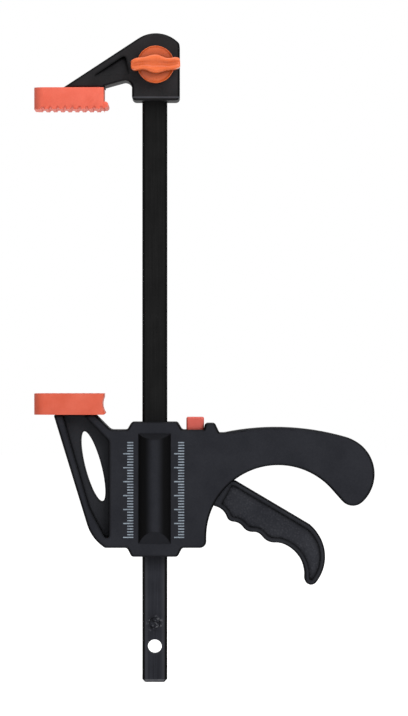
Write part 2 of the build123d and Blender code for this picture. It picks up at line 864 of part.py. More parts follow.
# Trigger and its pin
with BuildPart() as trigger_pin:
    with BuildSketch(Plane.XZ):
        with Locations((pin_x, pin_z)):
            Circle(pin_d / 2)
    extrude(amount=pin_half - seat_gap, both=True)
finish(trigger_pin, "trigger_pin")

back_start, back_end = [from_pin(offset) for offset in trigger_back]
hook_middle, hook_end, tip_end = [from_pin(offset) for offset in trigger_hook]
finger_points = [from_pin(offset) for offset in trigger_fingers]

with BuildSketch(Plane.XZ) as trigger_profile:
    with BuildLine():
        Polyline((pin_x, pin_z + hub_r), back_start, back_end)
        hook = ThreePointArc(back_end, hook_middle, hook_end)
        tip = TangentArc(hook_end, tip_end, tangent=hook % 1)
        arcs_by_points(tip_end, tip % 1, finger_points)
        Polyline(finger_points[-1], (pin_x, pin_z - hub_r), (pin_x, pin_z + hub_r))
    make_face()
    back_corner = trigger_profile.vertices().sort_by_distance(Vector(*back_end))[0]
    fillet(back_corner, radius=trigger_back_r)

# Hub with the nose that pushes the drive plates down
nose_angle = radians(180 - trigger_travel / 2)
nose_place = from_pin((nose_arm * cos(nose_angle), nose_arm * sin(nose_angle)))
nose_middle = from_pin((nose_arm * cos(nose_angle) / 2, nose_arm * sin(nose_angle) / 2))
with BuildSketch(Plane.XZ) as trigger_hub:
    with Locations((pin_x, pin_z)):
        Circle(hub_r)
    with Locations(nose_place):
        Circle(nose_r)
    with Locations(Location(nose_middle, -trigger_travel / 2)):
        Rectangle(nose_arm, 2 * nose_arm_half)

# Grip panels: the outline less a rim, outside the housing
with BuildSketch(Plane.XZ) as grip_panel:
    add(trigger_profile.sketch_local)
    offset(amount=-grip_rim, kind=Kind.ARC)
    with BuildLine():
        Polyline(
            (pin_x - slot_reach, pin_z + slot_reach),
            from_pin(grip_panel_end[0]),
            from_pin(grip_panel_end[1]),
            (pin_x - slot_reach, pin_z - slot_reach),
            close=True,
        )
    make_face(mode=Mode.SUBTRACT)

with BuildPart() as trigger:
    extrude(trigger_profile.sketch, amount=trigger_half, both=True)
    fillet(outer_edges(trigger), radius=trigger_edge_r)
    for face_side in (1, -1):
        with BuildSketch(Plane.XZ.offset(face_side * hub_half)):
            with Locations((pin_x, pin_z)):
                Circle(hub_r + move_gap)
        extrude(amount=face_side * trigger_half, mode=Mode.SUBTRACT)
        with BuildSketch(Plane.XZ.offset(face_side * trigger_half)):
            add(grip_panel.sketch_local)
        extrude(amount=-face_side * grip_panel_depth, mode=Mode.SUBTRACT)
    extrude(trigger_hub.sketch, amount=hub_half, both=True)
    with BuildSketch(Plane.XZ):
        with Locations((pin_x, pin_z)):
            Circle(pin_d / 2 + shaft_gap)
    extrude(amount=2 * hub_half, both=True, mode=Mode.SUBTRACT)
finish(trigger, "trigger")


# Drive plates and their spring
def drive_plate(top_z):
    """One stamped plate with its slot for the bar."""
    with BuildPart() as plate:
        with BuildSketch(Plane.XY.offset(top_z)):
            with Locations(((drive_plate_right - drive_plate_left) / 2, 0)):
                RectangleRounded(
                    drive_plate_right + drive_plate_left, 2 * plate_half, plate_corner_r
                )
            Rectangle(
                bar_width + 2 * bar_plate_gap,
                bar_thickness + 2 * bar_plate_gap,
                mode=Mode.SUBTRACT,
            )
        extrude(amount=-plate_thickness)
    return plate


def coil_spring(x, bottom_z, top_z, coil_r, wire_d, turns):
    """A helical spring that stands between two heights."""
    rise = top_z - bottom_z - wire_d
    with BuildPart() as spring:
        with BuildLine() as path:
            Helix(rise / turns, rise, coil_r, center=(x, 0, bottom_z + wire_d / 2))
        with BuildSketch(Plane(origin=path.line @ 0, z_dir=path.line % 0)):
            Circle(wire_d / 2)
        sweep(is_frenet=True)
    return spring


drive_top_z = nose_place[1] - nose_r - seat_gap
drive_bottom_z = drive_top_z - 2 * plate_thickness

drive_plate_upper = drive_plate(drive_top_z)
finish(drive_plate_upper, "drive_plate_upper")

drive_plate_lower = drive_plate(drive_top_z - plate_thickness)
finish(drive_plate_lower, "drive_plate_lower")

drive_spring = coil_spring(
    0, spring_seat_z, drive_bottom_z - seat_gap, drive_spring_r, drive_wire_d, drive_turns
)
finish(drive_spring, "drive_spring")


# Brake plate, its spring and the button that releases it
brake_slot_length = (
    bar_width + 2 * brake_bind_gap + brake_thickness * sin(brake_angle)
) / cos(brake_angle)

with BuildPart() as brake_plate:
    with BuildSketch(brake_plane.offset(-brake_thickness / 2)):
        Rectangle(
            (brake_right + brake_pivot) / cos(brake_angle),
            2 * plate_half,
            align=(Align.MIN, Align.CENTER),
        )
        with Locations((brake_pivot / cos(brake_angle), 0)):
            Rectangle(
                brake_slot_length, bar_thickness + 2 * bar_plate_gap, mode=Mode.SUBTRACT
            )
    extrude(amount=brake_thickness)
finish(brake_plate, "brake_plate")

brake_spring_top = brake_bottom(brake_spring_x - brake_spring_r - brake_wire_d / 2)
brake_spring = coil_spring(
    brake_spring_x,
    shelf_z,
    brake_spring_top - seat_gap,
    brake_spring_r,
    brake_wire_d,
    brake_turns,
)
finish(brake_spring, "brake_spring")

flange_top_z = bay_top_z - seat_gap
foot_z = brake_top(button_x) + button_foot_r / cos(brake_angle) + seat_gap

with BuildPart() as release_button:
    with BuildSketch(Plane.XY.offset(flange_top_z)):
        with Locations((button_x, 0)):
            RectangleRounded(button_width, button_depth, button_corner_r)
    extrude(amount=body_top_z + button_top - flange_top_z)
    fillet(release_button.faces().sort_by(Axis.Z)[-1].edges(), radius=button_edge_r)
    with BuildSketch(Plane.XY.offset(flange_top_z)):
        with Locations((button_x, 0)):
            Rectangle(button_width + 2 * button_flange, button_depth + 2 * button_flange)
    extrude(amount=-button_flange_height)
    with BuildSketch(Plane.XZ):
        with Locations((button_x, foot_z)):
            Circle(button_foot_r)
            Rectangle(
                2 * button_foot_r,
                flange_top_z - foot_z,
                align=(Align.CENTER, Align.MIN),
            )
    extrude(amount=button_depth / 2, both=True)
finish(release_button, "release_button")

# Travels and places that the joints and the mounts use
slide_down = collar_bottom_z - stop_rise - stop_head_d / 2 - seat_gap
slide_up = fixed_face_z - moving_face_z - move_gap
print("jaw slide", -slide_down, slide_up)
print("trigger pin", pin_x, pin_z, "nose travel", 2 * nose_arm * sin(radians(trigger_travel / 2)))
print("brake pivot", -brake_pivot, brake_pivot_z)
print("button travel", brake_top(button_x) - brake_pivot_z - brake_thickness / 2)
print("spring seats", spring_seat_z, shelf_z)
print("jaw faces", fixed_face_z, moving_face_z, "lock screw", lock_place)
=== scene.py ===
from math import pi, radians

import bpy
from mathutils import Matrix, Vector


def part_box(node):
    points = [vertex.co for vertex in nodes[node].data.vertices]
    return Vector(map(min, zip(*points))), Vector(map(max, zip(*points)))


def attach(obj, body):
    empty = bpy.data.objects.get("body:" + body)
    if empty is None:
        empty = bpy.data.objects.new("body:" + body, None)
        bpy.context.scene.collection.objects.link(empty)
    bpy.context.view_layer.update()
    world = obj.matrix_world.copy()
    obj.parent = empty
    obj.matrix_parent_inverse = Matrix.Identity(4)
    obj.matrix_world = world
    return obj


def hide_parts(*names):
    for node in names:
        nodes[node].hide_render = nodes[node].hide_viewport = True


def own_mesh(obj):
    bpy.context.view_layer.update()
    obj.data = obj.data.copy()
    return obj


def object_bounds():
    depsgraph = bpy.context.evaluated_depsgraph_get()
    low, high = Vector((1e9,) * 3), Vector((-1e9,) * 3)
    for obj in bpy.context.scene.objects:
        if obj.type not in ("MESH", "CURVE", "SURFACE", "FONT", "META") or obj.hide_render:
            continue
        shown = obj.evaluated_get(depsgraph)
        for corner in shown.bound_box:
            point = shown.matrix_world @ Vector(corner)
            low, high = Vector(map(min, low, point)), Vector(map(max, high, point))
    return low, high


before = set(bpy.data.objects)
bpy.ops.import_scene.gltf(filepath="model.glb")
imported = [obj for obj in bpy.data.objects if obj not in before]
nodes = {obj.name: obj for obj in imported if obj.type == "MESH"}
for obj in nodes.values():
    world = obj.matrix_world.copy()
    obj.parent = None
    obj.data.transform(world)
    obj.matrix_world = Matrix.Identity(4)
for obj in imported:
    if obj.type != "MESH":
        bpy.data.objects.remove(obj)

cadLow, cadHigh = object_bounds()
mm = 0.001
near = 0.02 * mm  # places this close count as the same


def linearColour(hexText):
    # sRGB hex to the linear values that sockets take
    values = [int(hexText[i:i + 2], 16) / 255 for i in (1, 3, 5)]
    linear = [v / 12.92 if v <= 0.04045 else ((v + 0.055) / 1.055) ** 2.4 for v in values]
    return (*linear, 1.0)


def addNode(tree, kind, settings=None, inputs=None):
    # an input takes a value, a socket, or a node whose first output is meant
    node = tree.nodes.new(kind)
    for name, value in (settings or {}).items():
        setattr(node, name, value)
    for name, value in (inputs or {}).items():
        if isinstance(value, bpy.types.Node):
            value = value.outputs[0]
        if isinstance(value, bpy.types.NodeSocket):
            tree.links.new(value, node.inputs[name])
        else:
            node.inputs[name].default_value = value
    return node


def putDown():
    # back to object mode with nothing selected
    if bpy.context.object and bpy.context.object.mode != "OBJECT":
        bpy.ops.object.mode_set(mode="OBJECT")
    bpy.ops.object.select_all(action="DESELECT")


def takeUp(piece):
    putDown()
    piece.select_set(True)
    bpy.context.view_layer.objects.active = piece


def pick(piece, kind, test):
    # edit mode, with what passes the test of its place selected
    takeUp(piece)
    bpy.ops.object.mode_set(mode="EDIT")
    bpy.ops.mesh.select_mode(type=kind)
    bpy.ops.mesh.select_all(action="DESELECT")
    bpy.ops.object.mode_set(mode="OBJECT")
    mesh = piece.data
    if kind == "VERT":
        for point in mesh.vertices:
            point.select = test(point.co)
    if kind == "EDGE":
        for edge in mesh.edges:
            edge.select = test(*[mesh.vertices[i].co for i in edge.vertices])
    if kind == "FACE":
        for face in mesh.polygons:
            face.select = test(face.center, face.normal)
    bpy.ops.object.mode_set(mode="EDIT")


def placeIntoMesh(piece):
    takeUp(piece)
    bpy.ops.object.transform_apply(location=True, rotation=True, scale=True)


def applyModifier(piece, kind, **settings):
    takeUp(piece)
    modifier = piece.modifiers.new(kind.lower(), kind)
    for name, value in settings.items():
        setattr(modifier, name, value)
    bpy.ops.object.modifier_apply(modifier=modifier.name)


def cut(piece, cutter, operation="DIFFERENCE"):
    applyModifier(piece, "BOOLEAN", object=cutter, operation=operation, solver="EXACT")
    bpy.data.objects.remove(cutter)


def repeatAlongX(piece, count, pitch):
    applyModifier(
        piece, "ARRAY", count=count, use_relative_offset=False,
        use_constant_offset=True, constant_offset_displace=(pitch, 0, 0),
    )


def addBlock(low, high):
    # a box between two corners, its size in its mesh
    putDown()
    centre = [(a + b) / 2 for a, b in zip(low, high)]
    bpy.ops.mesh.primitive_cube_add(size=1, location=centre)
    piece = bpy.context.object
    piece.scale = [b - a for a, b in zip(low, high)]
    placeIntoMesh(piece)
    return piece


def addRod(centre, radius, length, vertices=48, tilt=0.0):
    # a round rod along Y, tilted about X
    putDown()
    bpy.ops.mesh.primitive_cylinder_add(
        vertices=vertices, radius=radius, depth=length,
        location=centre, rotation=(pi / 2 + tilt, 0, 0),
    )
    piece = bpy.context.object
    placeIntoMesh(piece)
    return piece


def finishPiece(piece, name, body, material, angle=35):
    placeIntoMesh(piece)
    bpy.ops.object.shade_smooth_by_angle(angle=radians(angle))
    piece.name = name
    piece.data.materials.clear()
    piece.data.materials.append(material)
    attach(piece, body)


def newMaterial(name, look):
    material = bpy.data.materials.new(name)
    material.use_nodes = True
    tree = material.node_tree
    tree.nodes.clear()
    shader = addNode(tree, "ShaderNodeBsdfPrincipled", {}, look)
    addNode(tree, "ShaderNodeOutputMaterial", {}, {"Surface": shader})
    return material, tree, shader


nylon = {
    "sideShade": "#050506",  # painted shade on fillets and walls that turn sideways
    "corner": "#040405",  # painted shade in inner corners
    "wearAndHighlight": "#4A4B50",  # outer edges, paled as painted highlight
    "flowSize": 8 * mm,  # slow change of tone where the melt ran
    "grainSize": 0.5 * mm,  # spark-eroded grain, coarser than the real 0.2 mm so that it shows
    "grainDepth": 0.02 * mm,
    "rimReach": 0.75 * mm,  # width of the painted shade border beside the outer edges
    "edgeReach": 0.25 * mm,  # width of the painted highlight line on the edges themselves
    "edgeHighlight": 0.12,  # how far the outer edges are paled as painted highlight
    # painted light on the sunk webs
    "webLift": "#2F3034",
    "webDepth": 3.2 * mm,  # where the sunk webs lie, from the middle
    "levelBand": 0.1 * mm,  # how close to its level a sunk face lies
    "highlightBand": 0.22 * mm,
    "partingWidth": 0.12 * mm,
    "pebbleSize": 0.75 * mm,
    "pebbleDepth": 0.16 * mm,
}


def grainedNylon(name, faceDark, faceLight, partingLine=False, panelDepth=None, highlightLevel=None,
                 cornerReach=0.9 * mm, cornerStart=0.85):
    # Glass-filled nylon moulded in a spark-eroded tool: a satin, near-black grain on the broad
    # faces, darker where the walls turn sideways as painted shade, edges paler as painted
    # highlight.
    material, tree, shader = newMaterial(name, {"IOR": 1.53, "Specular IOR Level": 0.04})
    where = addNode(tree, "ShaderNodeTexCoord")
    place = where.outputs["Object"]
    flow = addNode(tree, "ShaderNodeTexNoise", {}, {
        "Vector": place, "Scale": 1 / nylon["flowSize"], "Detail": 3.0,
    })
    grain = addNode(tree, "ShaderNodeTexNoise", {}, {
        "Vector": place, "Scale": 1 / nylon["grainSize"], "Detail": 3.0, "Roughness": 0.6,
    })
    mottle = addNode(tree, "ShaderNodeMath", {"operation": "MULTIPLY_ADD"}, {
        0: grain, 1: 0.6, 2: flow,
    })
    tone = addNode(tree, "ShaderNodeMapRange", {}, {
        "Value": mottle, "From Min": 0.6, "From Max": 1.0,
    })
    colour = addNode(tree, "ShaderNodeMix", {"data_type": "RGBA"}, {
        0: tone, 6: linearColour(faceDark), 7: linearColour(faceLight),
    }).outputs[2]
    axes = addNode(tree, "ShaderNodeSeparateXYZ", {}, {"Vector": place})
    depth = addNode(tree, "ShaderNodeMath", {"operation": "ABSOLUTE"}, {0: axes.outputs["Y"]})
    if partingLine:
        # painted light: the sunk webs are made paler, lifting the shade that their walls cast
        inWeb = addNode(tree, "ShaderNodeMath", {"operation": "COMPARE"}, {
            0: depth, 1: nylon["webDepth"], 2: nylon["levelBand"],
        })
        colour = addNode(tree, "ShaderNodeMix", {"data_type": "RGBA"}, {
            0: inWeb, 6: colour, 7: linearColour(nylon["webLift"]),
        }).outputs[2]

    # how far a surface turns away from the broad faces, mostly sideways, for the painted shade on
    # the sides
    turned = addNode(tree, "ShaderNodeVectorMath", {"operation": "MULTIPLY"}, {
        0: where.outputs["Normal"], 1: (1.0, 0.0, 0.4),
    })
    turned = addNode(tree, "ShaderNodeVectorMath", {"operation": "LENGTH"}, {0: turned})
    sideShade = addNode(tree, "ShaderNodeMapRange", {"interpolation_type": "SMOOTHSTEP"}, {
        "Value": turned.outputs["Value"], "From Min": 0.06, "From Max": 0.54,
    })
    colour = addNode(tree, "ShaderNodeMix", {"data_type": "RGBA"}, {
        0: sideShade, 6: colour, 7: linearColour(nylon["sideShade"]),
    }).outputs[2]

    # painted shade: inner corners darkened, and a narrow dark border beside the outer edges
    cornerShade = addNode(tree, "ShaderNodeAmbientOcclusion", {"samples": 8, "only_local": True}, {
        "Distance": cornerReach,
    })
    corner = addNode(tree, "ShaderNodeMapRange", {}, {
        "Value": cornerShade.outputs["AO"], "From Min": 0.55, "From Max": cornerStart,
        "To Min": 0.9, "To Max": 0.0,
    })
    colour = addNode(tree, "ShaderNodeMix", {"data_type": "RGBA"}, {
        0: corner, 6: colour, 7: linearColour(nylon["corner"]),
    }).outputs[2]
    inwards = {"samples": 8, "only_local": True, "inside": True}
    rim = addNode(tree, "ShaderNodeAmbientOcclusion", inwards, {"Distance": nylon["rimReach"]})
    edgeShade = addNode(tree, "ShaderNodeMapRange", {}, {
        "Value": rim.outputs["AO"], "From Min": 0.5, "From Max": 0.97,
        "To Min": 0.85, "To Max": 0.0,
    })
    colour = addNode(tree, "ShaderNodeMix", {"data_type": "RGBA"}, {
        0: edgeShade, 6: colour, 7: linearColour(nylon["sideShade"]),
    }).outputs[2]
    # painted highlight: a pale line along the outer edges
    ridge = addNode(tree, "ShaderNodeAmbientOcclusion", inwards, {"Distance": nylon["edgeReach"]})
    wearAndHighlight = addNode(tree, "ShaderNodeMapRange", {}, {
        "Value": ridge.outputs["AO"], "From Min": 0.35, "From Max": 0.8,
        "To Min": nylon["edgeHighlight"], "To Max": 0.0,
    })
    colour = addNode(tree, "ShaderNodeMix", {"data_type": "RGBA"}, {
        0: wearAndHighlight, 6: colour, 7: linearColour(nylon["wearAndHighlight"]),
    }).outputs[2]
    if highlightLevel:
        # painted highlight: a pale line along the jaw's lower rim
        line = addNode(tree, "ShaderNodeMath", {"operation": "COMPARE"}, {
            0: axes.outputs["Z"], 1: highlightLevel, 2: nylon["highlightBand"],
        })
        line = addNode(tree, "ShaderNodeMath", {"operation": "MULTIPLY"}, {0: line, 1: mottle})
        colour = addNode(tree, "ShaderNodeMix", {"data_type": "RGBA"}, {
            0: line, 6: colour, 7: linearColour(nylon["wearAndHighlight"]),
        }).outputs[2]

    relief = addNode(tree, "ShaderNodeBump", {}, {"Height": grain, "Distance": nylon["grainDepth"]})
    if partingLine:
        # hairline where the two shells meet
        line = addNode(tree, "ShaderNodeMapRange", {}, {
            "Value": depth, "From Max": nylon["partingWidth"],
        })
        relief = addNode(tree, "ShaderNodeBump", {}, {
            "Height": line, "Distance": nylon["partingWidth"], "Normal": relief,
        })
    if panelDepth:
        # etched pebbles on the sunk panels only, the tops of some rubbed pale
        inPanel = addNode(tree, "ShaderNodeMath", {"operation": "COMPARE"}, {
            0: depth, 1: panelDepth, 2: nylon["levelBand"],
        })
        pebbles = addNode(tree, "ShaderNodeTexVoronoi", {"feature": "SMOOTH_F1"}, {
            "Vector": place, "Scale": 1 / nylon["pebbleSize"], "Smoothness": 0.5,
        })
        tops = addNode(tree, "ShaderNodeMapRange", {}, {
            "Value": pebbles, "From Min": 0.1, "From Max": 0.45, "To Min": 0.3, "To Max": 0.0,
        })
        tops = addNode(tree, "ShaderNodeMath", {"operation": "MULTIPLY"}, {0: tops, 1: inPanel})
        tops = addNode(tree, "ShaderNodeMath", {"operation": "MULTIPLY"}, {0: tops, 1: mottle})
        colour = addNode(tree, "ShaderNodeMix", {"data_type": "RGBA"}, {
            0: tops, 6: colour, 7: linearColour(nylon["wearAndHighlight"]),
        }).outputs[2]
        pebbles = addNode(tree, "ShaderNodeMath", {"operation": "MULTIPLY"}, {
            0: pebbles, 1: inPanel,
        })
        relief = addNode(tree, "ShaderNodeBump", {"invert": True}, {
            "Height": pebbles, "Distance": nylon["pebbleDepth"], "Normal": relief,
        })
    gloss = addNode(tree, "ShaderNodeMapRange", {}, {
        "Value": grain, "From Min": 0.3, "From Max": 0.7, "To Min": 0.5, "To Max": 0.62,
    })
    tree.links.new(colour, shader.inputs["Base Color"])
    tree.links.new(gloss.outputs[0], shader.inputs["Roughness"])
    tree.links.new(relief.outputs[0], shader.inputs["Normal"])
    return material


barSteel = {
    "tail": ("#222328", "#2F3036"),  # towards the lower end, where the bar is paler
    "head": ("#0F0F0F", "#191919"),
    # painted shade on the rounded sides
    "edge": "#020202",
    "wearAndHighlight": "#55565A",
    # bare steel, brightened as painted highlight on dent crests and painted light on the sawn arris
    "bareAndLit": "#8C8D92",
    # painted shade in the dent pits
    "pitShade": "#060606",
    "sideHighlightFrom": 1.5 * mm,  # from the bar's middle, where the painted highlight along the sides starts
    "sideHighlightTo": 2.6 * mm,
    "sawnEnd": -9.75 * mm,
    "sawnBand": 0.3 * mm,
    "stopLevel": 6.6 * mm,
    "fadeLow": 22 * mm,  # the tail's tone turns into the head's from here
    "fadeHigh": 68 * mm,
    "drawnSize": 0.4 * mm,
    "drawnStretch": 0.02,
    "drawnDepth": 0.012 * mm,
    "cloudSize": 6 * mm,
    "scuffSize": 2.4 * mm,
    "scuffDepth": 0.03 * mm,
    "dentSize": 0.9 * mm,
    "dentDepth": 0.35 * mm,
    "dentCore": 0.8 * mm,  # fully dented this far from the stop's middle
    "dentReach": 2.7 * mm,
}


def blackOxideSteel():
    # Cold-drawn flat steel with a black oxide skin: faint lines along its length, rounded edges
    # darkened as painted shade, paler towards the lower end, and hammer dents round the stop.
    material, tree, shader = newMaterial("blackOxideSteel", {
        "IOR": 1.5, "Specular IOR Level": 0.05,
    })
    where = addNode(tree, "ShaderNodeTexCoord")
    place = where.outputs["Object"]
    stretched = addNode(tree, "ShaderNodeMapping", {}, {
        "Vector": place, "Scale": (1, 1, barSteel["drawnStretch"]),
    })
    drawn = addNode(tree, "ShaderNodeTexNoise", {}, {
        "Vector": stretched, "Scale": 1 / barSteel["drawnSize"], "Detail": 2.0,
    })
    cloud = addNode(tree, "ShaderNodeTexNoise", {}, {
        "Vector": place, "Scale": 1 / barSteel["cloudSize"], "Detail": 4.0,
    })
    scuff = addNode(tree, "ShaderNodeTexNoise", {}, {
        "Vector": place, "Scale": 1 / barSteel["scuffSize"], "Detail": 5.0, "Roughness": 0.7,
    })
    mottle = addNode(tree, "ShaderNodeMath", {"operation": "ADD"}, {0: drawn, 1: cloud})
    tone = addNode(tree, "ShaderNodeMapRange", {}, {
        "Value": mottle, "From Min": 0.75, "From Max": 1.25,
    })
    tail = addNode(tree, "ShaderNodeMix", {"data_type": "RGBA"}, {
        0: tone, 6: linearColour(barSteel["tail"][0]), 7: linearColour(barSteel["tail"][1]),
    }).outputs[2]
    head = addNode(tree, "ShaderNodeMix", {"data_type": "RGBA"}, {
        0: tone, 6: linearColour(barSteel["head"][0]), 7: linearColour(barSteel["head"][1]),
    }).outputs[2]
    axes = addNode(tree, "ShaderNodeSeparateXYZ", {}, {"Vector": place})
    along = addNode(tree, "ShaderNodeMapRange", {}, {
        "Value": axes.outputs["Z"],
        "From Min": barSteel["fadeLow"], "From Max": barSteel["fadeHigh"],
    })
    colour = addNode(tree, "ShaderNodeMix", {"data_type": "RGBA"}, {
        0: along, 6: tail, 7: head,
    }).outputs[2]

    # rubbed spots, a painted highlight along the sides of the tail, and the sawn end's arris
    # painted bright
    spots = addNode(tree, "ShaderNodeMapRange", {}, {
        "Value": scuff, "From Min": 0.66, "From Max": 0.74, "To Max": 0.35,
    })
    colour = addNode(tree, "ShaderNodeMix", {"data_type": "RGBA"}, {
        0: spots, 6: colour, 7: linearColour(barSteel["wearAndHighlight"]),
    }).outputs[2]
    across = addNode(tree, "ShaderNodeMath", {"operation": "ABSOLUTE"}, {0: axes.outputs["X"]})
    sideHighlight = addNode(tree, "ShaderNodeMapRange", {"interpolation_type": "SMOOTHSTEP"}, {
        "Value": across, "To Max": 0.22,
        "From Min": barSteel["sideHighlightFrom"], "From Max": barSteel["sideHighlightTo"],
    })
    atTail = addNode(tree, "ShaderNodeMath", {"operation": "SUBTRACT"}, {0: 1.0, 1: along})
    sideHighlight = addNode(tree, "ShaderNodeMath", {"operation": "MULTIPLY"}, {0: sideHighlight, 1: atTail})
    colour = addNode(tree, "ShaderNodeMix", {"data_type": "RGBA"}, {
        0: sideHighlight, 6: colour, 7: linearColour(barSteel["wearAndHighlight"]),
    }).outputs[2]
    # painted light: the downward-facing arris at the sawn end shown bright, as bare steel
    sawn = addNode(tree, "ShaderNodeMath", {"operation": "COMPARE"}, {
        0: axes.outputs["Z"], 1: barSteel["sawnEnd"], 2: barSteel["sawnBand"],
    })
    litArris = addNode(tree, "ShaderNodeMath", {"operation": "MULTIPLY"}, {0: sawn, 1: scuff})
    colour = addNode(tree, "ShaderNodeMix", {"data_type": "RGBA"}, {
        0: litArris, 6: colour, 7: linearColour(barSteel["bareAndLit"]),
    }).outputs[2]
    # painted shade: the rounded sides darkened as they turn sideways
    turned = addNode(tree, "ShaderNodeSeparateXYZ", {}, {"Vector": where.outputs["Normal"]})
    sideways = addNode(tree, "ShaderNodeMath", {"operation": "ABSOLUTE"}, {0: turned.outputs["X"]})
    edge = addNode(tree, "ShaderNodeMapRange", {}, {
        "Value": sideways, "From Min": 0.03, "From Max": 0.3,
    })
    colour = addNode(tree, "ShaderNodeMix", {"data_type": "RGBA"}, {
        0: edge, 6: colour, 7: linearColour(barSteel["edge"]),
    }).outputs[2]

    # hammer dents that fade out with the distance from the stop: bare crests with a painted
    # highlight, pits darkened as painted shade
    flat = addNode(tree, "ShaderNodeMapping", {}, {
        "Vector": place, "Location": (0, 0, -barSteel["stopLevel"]), "Scale": (1, 0, 1),
    })
    reach = addNode(tree, "ShaderNodeVectorMath", {"operation": "LENGTH"}, {0: flat})
    closeBy = addNode(tree, "ShaderNodeMapRange", {}, {
        "Value": reach.outputs["Value"], "To Min": 1.0, "To Max": 0.0,
        "From Min": barSteel["dentCore"], "From Max": barSteel["dentReach"],
    })
    dents = addNode(tree, "ShaderNodeTexNoise", {}, {
        "Vector": place, "Scale": 1 / barSteel["dentSize"], "Detail": 3.0,
    })
    for low, high, share, tint in ((0.54, 0.66, 0.9, "bareAndLit"), (0.46, 0.38, 0.8, "pitShade")):
        mark = addNode(tree, "ShaderNodeMapRange", {}, {
            "Value": dents, "From Min": low, "From Max": high, "To Max": share,
        })
        mark = addNode(tree, "ShaderNodeMath", {"operation": "MULTIPLY"}, {0: mark, 1: closeBy})
        colour = addNode(tree, "ShaderNodeMix", {"data_type": "RGBA"}, {
            0: mark, 6: colour, 7: linearColour(barSteel[tint]),
        }).outputs[2]
    tree.links.new(colour, shader.inputs["Base Color"])
    gloss = addNode(tree, "ShaderNodeMapRange", {}, {
        "Value": tone, "To Min": 0.4, "To Max": 0.55,
    })
    tree.links.new(gloss.outputs[0], shader.inputs["Roughness"])

    dents = addNode(tree, "ShaderNodeMath", {"operation": "MULTIPLY"}, {0: dents, 1: closeBy})
    relief = addNode(tree, "ShaderNodeBump", {}, {
        "Height": drawn, "Distance": barSteel["drawnDepth"],
    })
    relief = addNode(tree, "ShaderNodeBump", {}, {
        "Height": scuff, "Distance": barSteel["scuffDepth"], "Strength": 0.5, "Normal": relief,
    })
    relief = addNode(tree, "ShaderNodeBump", {}, {
        "Height": dents, "Distance": barSteel["dentDepth"], "Normal": relief,
    })
    tree.links.new(relief.outputs[0], shader.inputs["Normal"])
    return material


vinyl = {
    "cloudSize": 5 * mm,
    "grainSize": 0.45 * mm,  # fine mould texture, coarser than the real 0.1 mm so that it shows
    "grainDepth": 0.012 * mm,
    "cornerReach": 1.0 * mm,
    "lightReach": 0.6 * mm,  # how far light goes into it
}


def softVinyl(name, deep, pale, shaded):
    # Soft PVC moulding: an even salmon red, matt from its fine mould texture, darker in
    # its corners as painted shade, with light that goes a little way into it.
    material, tree, shader = newMaterial(name, {
        "IOR": 1.52, "Specular IOR Level": 0.25, "Subsurface Weight": 0.1,
        "Subsurface Radius": (1.0, 0.35, 0.2), "Subsurface Scale": vinyl["lightReach"],
    })
    place = addNode(tree, "ShaderNodeTexCoord").outputs["Object"]
    cloud = addNode(tree, "ShaderNodeTexNoise", {}, {
        "Vector": place, "Scale": 1 / vinyl["cloudSize"], "Detail": 3.0,
    })
    grain = addNode(tree, "ShaderNodeTexNoise", {}, {
        "Vector": place, "Scale": 1 / vinyl["grainSize"], "Detail": 2.0,
    })
    mottle = addNode(tree, "ShaderNodeMath", {"operation": "MULTIPLY_ADD"}, {
        0: grain, 1: 0.4, 2: cloud,
    })
    tone = addNode(tree, "ShaderNodeMapRange", {}, {
        "Value": mottle, "From Min": 0.5, "From Max": 0.9,
    })
    colour = addNode(tree, "ShaderNodeMix", {"data_type": "RGBA"}, {
        0: tone, 6: linearColour(deep), 7: linearColour(pale),
    }).outputs[2]
    # painted shade: darker in the corners
    cornerShade = addNode(tree, "ShaderNodeAmbientOcclusion", {"samples": 8}, {
        "Distance": vinyl["cornerReach"],
    })
    corner = addNode(tree, "ShaderNodeMapRange", {}, {
        "Value": cornerShade.outputs["AO"], "From Min": 0.2, "From Max": 0.8,
        "To Min": 0.8, "To Max": 0.0,
    })
    colour = addNode(tree, "ShaderNodeMix", {"data_type": "RGBA"}, {
        0: corner, 6: colour, 7: linearColour(shaded),
    }).outputs[2]
    tree.links.new(colour, shader.inputs["Base Color"])
    gloss = addNode(tree, "ShaderNodeMapRange", {}, {
        "Value": grain, "From Min": 0.3, "From Max": 0.7, "To Min": 0.5, "To Max": 0.64,
    })
    tree.links.new(gloss.outputs[0], shader.inputs["Roughness"])
    relief = addNode(tree, "ShaderNodeBump", {}, {"Height": grain, "Distance": vinyl["grainDepth"]})
    tree.links.new(relief.outputs[0], shader.inputs["Normal"])
    return material


plastic = {
    "cloudSize": 4 * mm,
    "sinkDepth": 0.05 * mm,
    "grainSize": 0.4 * mm,
    "grainDepth": 0.005 * mm,
    "lightReach": 0.5 * mm,
}


